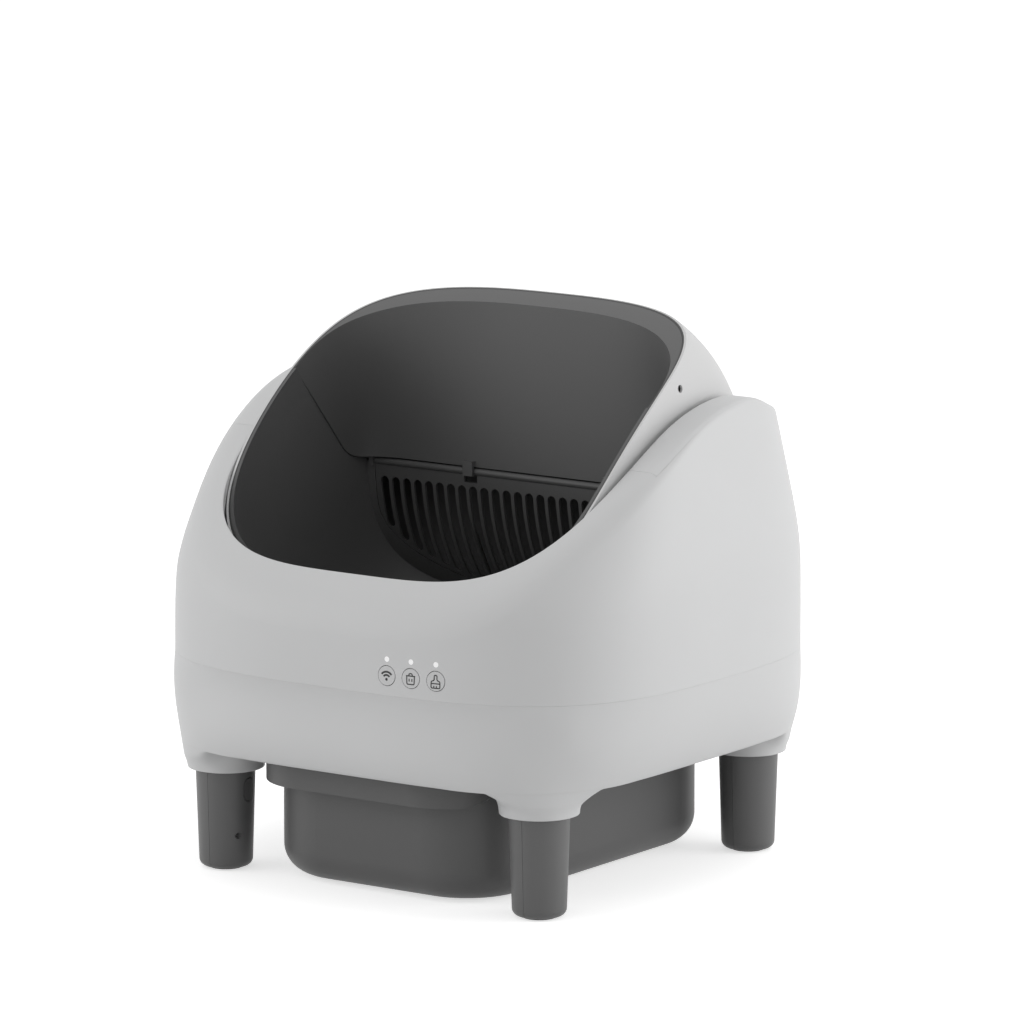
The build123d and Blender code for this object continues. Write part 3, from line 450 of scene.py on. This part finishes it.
# all points of one column of the case, from the parting line to the foot of the well
def caseColumn(angle):
    u = upperCase
    c, s = math.cos(angle), math.sin(angle)
    top = rimHeight(angle)
    edge = caseReach(angle, top)
    well = superReach(angle, u["wellHalfWidth"], u["wellHalfDepth"], u["wellPower"])
    y = edge * s
    crease = u["earCrease"] + (u["frontCrease"] - u["earCrease"]) * ease(*u["frontEase"], y)
    crease += (u["rearCrease"] - u["earCrease"]) * ease(*u["rearEase"], y)
    crease = min(crease, (edge - well) * u["creaseShare"])

    def onWall(z):
        return Vector((caseReach(angle, z) * c, caseReach(angle, z) * s, z))

    def onBand(reach):
        return Vector((reach * c, reach * s, earHeight(reach * s)))

    def onWell(z):
        return Vector((well * c, well * s, z))

    wallHeight = top - crease - u["bottom"]
    points = [onWall(u["bottom"] + wallHeight * k / u["wallRows"]) for k in range(u["wallRows"])]
    bend = (onWall(top - crease), onWall(top), onBand(edge - crease))
    points += [bezier(*bend, t) for t in u["creaseSteps"]]
    inner = well + u["wellEdge"]
    points += [onBand(edge - crease + (inner - edge + crease) * k / u["bandRows"])
               for k in range(1, u["bandRows"])]
    lip = onBand(well).z
    bend = (onBand(inner), onBand(well), onWell(lip - u["wellEdge"]))
    points += [bezier(*bend, t) for t in u["edgeSteps"]]
    points += [onWell(lip - u["capDepth"]), onWell(lip - u["capDepth"] - u["capGap"])]
    start = lip - u["capDepth"] - u["capGap"]
    points += [onWell(start + (u["bottom"] - start) * k / u["wellRows"]) for k in range(1, u["wellRows"] + 1)]
    return points


case = columnSkin("upperCase", upperCase["columns"], caseColumn)
print("upper case skin:", len(case.data.vertices), "points")


# the ear caps come out of the same skin, each with a fine gap around it
# faces are marked by their material: not a cap, a cap, or the row beside it that is taken out for the gap
capRow = upperCase["wallRows"] + upperCase["capStep"]
wellRow = upperCase["wallRows"] + len(upperCase["creaseSteps"]) + upperCase["bandRows"] - 1
wellRow += len(upperCase["edgeSteps"])
notCap, cap, beside = range(3)
for _ in (notCap, cap, beside):
    case.data.materials.append(None)
for face in case.data.polygons:
    row = face.index // upperCase["columns"]
    face.material_index = beside if row in (capRow - 1, wellRow) else cap if capRow <= row < wellRow else notCap
capEnds = (upperCase["capFront"], upperCase["capRear"])
for end in capEnds:
    for side in (-1, 1):
        pickFaces(case, lambda face: face.material_index != notCap)
        bpy.ops.mesh.bisect(plane_co=(0, end + side * upperCase["capGap"] / 2, 0), plane_no=(0, 1, 0))


def inCapGap(face):
    y, mark = face.center.y, face.material_index
    across = min(abs(y - end) for end in capEnds) < upperCase["capGap"] * upperCase["gapShare"]
    return mark == beside and capEnds[0] < y < capEnds[1] or mark != notCap and across


pickFaces(case, inCapGap)
bpy.ops.mesh.delete(type="FACE")
bpy.ops.mesh.select_all(action="SELECT")
bpy.ops.mesh.separate(type="LOOSE")
bpy.ops.object.mode_set(mode="OBJECT")
*caps, case = sorted(bpy.context.selected_objects, key=lambda obj: len(obj.data.polygons))
for obj in caps + [case]:
    for face in obj.data.polygons:
        face.material_index = notCap
    applyModifier(obj, "SOLIDIFY", thickness=upperCase["wall"], offset=-1.0)

# holes for the buttons and their lights in the front, and for the axles, the gear and the pinion in the well
buttonSetup = {"x": (0.067, 0.095, 0.123), "y": -0.262, "z": 0.241, "hole": 0.0104, "depth": 0.06,
               "lightRise": 0.0165, "lightRadius": 0.0027, "lightSides": 32}
wellHoles = [
    {"radius": 0.024, "at": (0.2325, 0, 0.3805), "sides": 64},
    {"radius": 0.0815, "at": (-0.2325, 0, 0.3805), "sides": 128},
    {"radius": 0.029, "at": (-0.2325, 0.0627, 0.3058), "sides": 64},
]
wellHoleDepth = 0.012
tools = []
b = buttonSetup
for x in b["x"]:
    tools.append(rod(b["hole"], b["depth"], (x, b["y"], b["z"]), "y"))
    tools.append(rod(b["lightRadius"], b["depth"], (x, b["y"], b["z"] + b["lightRise"]), "y", b["lightSides"]))
for hole in wellHoles:
    tools.append(rod(hole["radius"], wellHoleDepth, hole["at"], "x", hole["sides"]))
cutWith(case, tools)
smooth(case)
handIn(case, "upperCase", "base", "shell_light", "upper_case")
for obj in caps:
    side = "left" if obj.bound_box[0][0] < 0 else "right"
    smooth(obj)
    handIn(obj, side + "EarCap", "base", "trim_light", side + "_ear_cap")
print("upper case done")


# lower case: a smooth skin from the parting line to the skirt, and four round leg bosses that flow out of it
# each level is the height of an outline, its half width, half depth and power
lowerCase = {
    "levels": ((0.221, 0.290, 0.268, 3.2), (0.170, 0.283, 0.266, 3.5), (0.132, 0.264, 0.260, 4.2)),
    "skirtZ": 0.132, "wall": 0.003, "edge": 0.0022, "leastEdge": 0.0001, "rows": 30, "columns": 400,
    "edgeFrom": (0.045, 0.080), "inletAt": (0.170, 0.262, 0.180), "inletSize": 0.0164, "inletStretch": (1, 4, 1),
    "bossZ": 0.104, "bossRadius": 0.040, "legX": 0.1946, "legY": 0.187, "spigot": 0.0262, "seatZ": 0.143,
    "flare": 0.028, "flareOut": 0.020, "spread": 0.030, "spreadPower": 2.5, "spreadFrom": (40, 85), "merge": 0.006,
    "outward": 45, "wallSearch": 0.3, "wallHalvings": 26, "bossRows": 20, "bossColumns": 96, "bossEdge": 0.0016,
}


# a rounded rectangle around the four bosses
def bossReach(angle):
    c, s = abs(math.cos(angle)), abs(math.sin(angle))
    x, y, r = lowerCase["legX"], lowerCase["legY"], lowerCase["bossRadius"]
    if (x + r) * s <= y * c:
        return (x + r) / c
    if (y + r) * c <= x * s:
        return (y + r) / s
    along = c * x + s * y
    return along + math.sqrt(along ** 2 - x ** 2 - y ** 2 + r ** 2)


# one cubic through the outline's reach at four levels
def skirtReach(angle, z):
    heights = [level[0] for level in lowerCase["levels"]] + [lowerCase["bossZ"]]
    reaches = [superReach(angle, *level[1:]) for level in lowerCase["levels"]] + [bossReach(angle)]
    total = 0.0
    for i, reach in enumerate(reaches):
        for j, height in enumerate(heights):
            if j != i:
                reach *= (z - height) / (heights[i] - height)
        total += reach
    return total


# the skirt's edge is rounded between the bosses and runs straight into them
def skirtColumn(angle):
    s = lowerCase
    top, low = s["levels"][0][0], s["skirtZ"]
    reach = skirtReach(angle, low)
    away = max(s["legX"] - abs(reach * math.cos(angle)), s["legY"] - abs(reach * math.sin(angle)))
    edge = s["leastEdge"] + s["edge"] * ease(*s["edgeFrom"], away)
    spots = [(0.0, top + (low + edge - top) * k / s["rows"]) for k in range(s["rows"] + 1)]
    spots += [(inset, low + rise) for inset, rise in roundedEdge(edge)]
    rings = [(skirtReach(angle, z) - inset, z) for inset, z in spots]
    return [Vector((reach * math.cos(angle), reach * math.sin(angle), z)) for reach, z in rings]


def softMin(a, b, soft):
    overlap = max(soft - abs(a - b), 0.0) / soft
    return min(a, b) - overlap * overlap * soft / 4


# radius of the rear right boss around its leg: a flare towards the box, the case's own wall outwards
def bossRadiusAt(turn, z):
    s = lowerCase
    rise = z - s["bossZ"]
    fromOutside = abs(math.degrees(turn) - s["outward"])
    fromOutside = min(fromOutside, 360 - fromOutside)
    share = min(1.0, rise / s["flare"])
    flare = s["bossRadius"] + s["flareOut"] * (1 - math.sqrt(1 - share ** 2))
    flare += s["spread"] * share ** s["spreadPower"] * (1 - ease(*s["spreadFrom"], fromOutside))
    near, far = 0.0, s["wallSearch"]
    for _ in range(s["wallHalvings"]):
        wall = (near + far) / 2
        x, y = s["legX"] + wall * math.cos(turn), s["legY"] + wall * math.sin(turn)
        inside = math.hypot(x, y) < skirtReach(math.atan2(y, x), z)
        near, far = (wall, far) if inside else (near, wall)
    return softMin(flare, wall, s["merge"])


def bossColumn(turn):
    s = lowerCase
    low, top = s["bossZ"], s["skirtZ"]
    ring = [(s["spigot"], s["seatZ"]), (s["bossRadius"], s["seatZ"]), (s["bossRadius"], top)]
    for k in range(s["bossRows"] + 1):
        z = low + s["bossEdge"] + (top - low - s["bossEdge"]) * math.cos(math.pi / 2 * k / s["bossRows"])
        ring.append((bossRadiusAt(turn, z), z))
    foot = ring[-1][0]
    ring += [(foot - inset, low + rise) for inset, rise in roundedEdge(s["bossEdge"])]
    ring += [(s["spigot"], low), ring[0]]
    return [Vector((s["legX"] + r * math.cos(turn), s["legY"] + r * math.sin(turn), z)) for r, z in ring]


skirt = columnSkin("lowerSkin", lowerCase["columns"], skirtColumn)
applyModifier(skirt, "SOLIDIFY", thickness=lowerCase["wall"], offset=-1.0)
clearSelection()
bpy.ops.mesh.primitive_cube_add(size=lowerCase["inletSize"], location=lowerCase["inletAt"],
                                scale=lowerCase["inletStretch"])
inletTool = bpy.context.object
bpy.ops.object.transform_apply(location=True, rotation=True, scale=True)
cutWith(skirt, [inletTool])
bosses = [columnSkin("legBoss", lowerCase["bossColumns"], bossColumn)]
for i, j in ((-1, 1), (1, -1), (-1, -1)):
    makeActive(bosses[0])
    bpy.ops.object.duplicate()
    boss = bpy.context.object
    boss.scale = (i, j, 1)
    bpy.ops.object.transform_apply(location=True, rotation=True, scale=True)
    turnOutward(boss)
    bosses.append(boss)
joinAll([skirt] + bosses)
smooth(skirt)
handIn(skirt, "lowerCase", "base", "shell_light", "lower_case")
print("lower case done:", len(skirt.data.polygons), "faces")


# printed marks on the front buttons: flat pen strokes laid onto each button's face, in millimetres from its middle
# the dot has a place and a radius, and each arc a radius and half its angle
markSetup = {
    "unit": 0.001, "before": -0.285, "offset": 0.00005, "ink": 0.00008, "dotSides": 28,
    "wireless": {"dot": (0.0, -3.7, 1.45), "arcs": ((4.4, 52), (7.6, 50)), "pen": 0.98},
    "empty": {"pen": 0.60, "bend": 1.3,
              "lines": [((-5.2, 2.5), (5.2, 2.5)), ((-1.6, -0.2), (-1.6, -3.0)), ((1.6, -0.2), (1.6, -3.0))],
              "can": ((-4.4, 2.5), (-4.1, -5.8), (4.1, -5.8), (4.4, 2.5)),
              "handle": ((-2.0, 2.5), (-1.7, 4.9), (1.7, 4.9), (2.0, 2.5))},
    "clean": {"pen": 0.58, "bend": 1.2,
              "lines": [((-4.8, -2.4), (4.8, -2.4)), ((-1.7, -4.6), (-1.7, -6.6)), ((1.0, -4.6), (1.0, -6.6))],
              "brush": ((-4.8, -6.9), (-4.8, -0.4), (-1.5, 1.0), (-1.5, 5.9), (1.5, 5.9), (1.5, 1.0), (4.8, -0.4),
                        (4.8, -6.9))},
}


# corners joined by a line whose bends are eased
def eased(corners, bend, closed=False):
    points = []
    for k, corner in enumerate(corners):
        here = Vector(corner)
        if not closed and k in (0, len(corners) - 1):
            points.append(here)
            continue
        before, after = Vector(corners[k - 1]), Vector(corners[(k + 1) % len(corners)])
        start = here + (before - here).normalized() * bend
        end = here + (after - here).normalized() * bend
        points += [bezier(start, here, end, t) for t in (0.0, 0.25, 0.5, 0.75, 1.0)]
    return points + points[:1] if closed else points


def onFront(x, z, middle):
    unit = markSetup["unit"]
    return Vector((middle + x * unit, markSetup["before"], buttonSetup["z"] + z * unit))


def penStroke(points, pen, middle):
    last = len(points) - 1

    def place(u, w):
        k = round(u * last)
        along = (points[min(k + 1, last)] - points[max(k - 1, 0)]).normalized()
        at = points[k] + Vector((-along.y, along.x)) * pen * (2 * w - 1)
        return onFront(at.x, at.y, middle)
    return skin("stroke", last, 2, place)


def penDot(x, z, radius, middle):
    clearSelection()
    bpy.ops.mesh.primitive_circle_add(vertices=markSetup["dotSides"], radius=radius * markSetup["unit"],
                                      fill_type="NGON", rotation=(math.pi / 2, 0, 0), location=onFront(x, z, middle))
    bpy.ops.object.transform_apply(location=True, rotation=True, scale=True)
    return bpy.context.object


def arcPoints(x, z, radius, halfAngle, steps=16):
    turns = [math.radians(90 - halfAngle + 2 * halfAngle * k / steps) for k in range(steps + 1)]
    return [Vector((x + radius * math.cos(t), z + radius * math.sin(t))) for t in turns]


def wirelessMark(middle):
    m = markSetup["wireless"]
    x, z, radius = m["dot"]
    arcs = [arcPoints(x, z, reach, half) for reach, half in m["arcs"]]
    return [penDot(x, z, radius, middle)] + [penStroke(arc, m["pen"], middle) for arc in arcs]


def emptyMark(middle):
    m = markSetup["empty"]
    paths = [eased(line, 0) for line in m["lines"]]
    paths += [eased(m["can"], m["bend"]), eased(m["handle"], m["bend"])]
    return [penStroke(path, m["pen"], middle) for path in paths]


def cleanMark(middle):
    m = markSetup["clean"]
    paths = [eased(line, 0) for line in m["lines"]] + [eased(m["brush"], m["bend"], closed=True)]
    return [penStroke(path, m["pen"], middle) for path in paths]


markMakers = {"wireless": wirelessMark, "empty": emptyMark, "clean": cleanMark}
for (key, maker), middle in zip(markMakers.items(), buttonSetup["x"]):
    printed = joinAll(maker(middle))
    applyModifier(printed, "SHRINKWRAP", target=frame["nodes"][key + "_button"], wrap_method="PROJECT",
                  use_project_y=True, use_positive_direction=True, use_negative_direction=False,
                  offset=markSetup["offset"])
    applyModifier(printed, "SOLIDIFY", thickness=markSetup["ink"], offset=0.0)
    smooth(printed)
    handIn(printed, key + "Mark", key + "_key", "black_plastic")
    printed.data.materials[0] = printedInk
print("button marks done")


# floor and light: the floor and the sky are white to the camera, and the floor keeps the shadow
floorSetup = {"half": 14.0, "drop": 0.0002, "level": 0.80, "roughness": 0.9, "glow": 0.62}
clearSelection()
bpy.ops.mesh.primitive_plane_add(size=2 * floorSetup["half"], location=(0, 0, -floorSetup["drop"]))
floor = bpy.context.object
floor.name = "studioFloor"
floorPaint = Paint("studioFloor")
floorPaint.set(Base_Color=grey(floorSetup["level"]), Roughness=floorSetup["roughness"], Specular_IOR_Level=0.0)
glow = floorPaint.add("ShaderNodeEmission", None, {"Strength": floorPaint.seen() * floorSetup["glow"]})
both = floorPaint.add("ShaderNodeAddShader", None, {0: Val(floorPaint, floorPaint.shader.outputs[0]), 1: glow})
floorPaint.feed(floorPaint.tree.nodes["Material Output"].inputs["Surface"], both)
floor.data.materials.append(floorPaint.material)

skySetup = {"light": 0.62, "seen": 1.0}
scene.world = bpy.data.worlds.new("studio")
sky = Paint("studio", scene.world)
brightness = {"Value": sky.seen(), "To Min": skySetup["light"], "To Max": skySetup["seen"]}
sky.set(Color=grey(1.0), Strength=sky.add("ShaderNodeMapRange", None, brightness))

lampAim = Vector((0, 0, 0.3))
lampSetup = [
    {"name": "rightSoft", "at": (2.9, 1.6, 0.75), "size": 2.0, "power": 44.0},
    {"name": "topSoft", "at": (0.3, 0.6, 3.0), "size": 2.4, "power": 13.0},
    {"name": "leftSoft", "at": (-2.6, -2.2, 1.1), "size": 2.4, "power": 26.0},
]
for lamp in lampSetup:
    bpy.ops.object.light_add(type="AREA", location=lamp["at"])
    light = bpy.context.object
    light.name = lamp["name"]
    light.data.size = lamp["size"]
    light.data.energy = lamp["power"]
    light.rotation_euler = (lampAim - Vector(lamp["at"])).to_track_quat("-Z", "Y").to_euler()
print("studio done")

# camera, solved from the legs and mirrored pairs of points
cameraSetup = {"azimuth": 35.2111, "elevation": 10.1592, "distance": 7.6, "focal": 7423.87 / 1024, "sensor": 36,
               "right": 0.0241307, "up": 0.3529233, "clip": 60}
turn, tilt = math.radians(cameraSetup["azimuth"]), math.radians(cameraSetup["elevation"])
back = Vector((math.sin(turn) * math.cos(tilt), -math.cos(turn) * math.cos(tilt), math.sin(tilt)))
right = Vector((math.cos(turn), math.sin(turn), 0))
up = back.cross(right)
cameraData = bpy.data.cameras.new("photoCamera")
camera = bpy.data.objects.new("photoCamera", cameraData)
scene.collection.objects.link(camera)
cameraData.lens = cameraSetup["focal"] * cameraSetup["sensor"]
cameraData.sensor_width = cameraSetup["sensor"]
cameraData.clip_end = cameraSetup["clip"]
target = right * cameraSetup["right"] + up * cameraSetup["up"]
camera.matrix_world = Matrix((right, up, back)).transposed().to_4x4()
camera.matrix_world.translation = target + back * cameraSetup["distance"]
scene.camera = camera
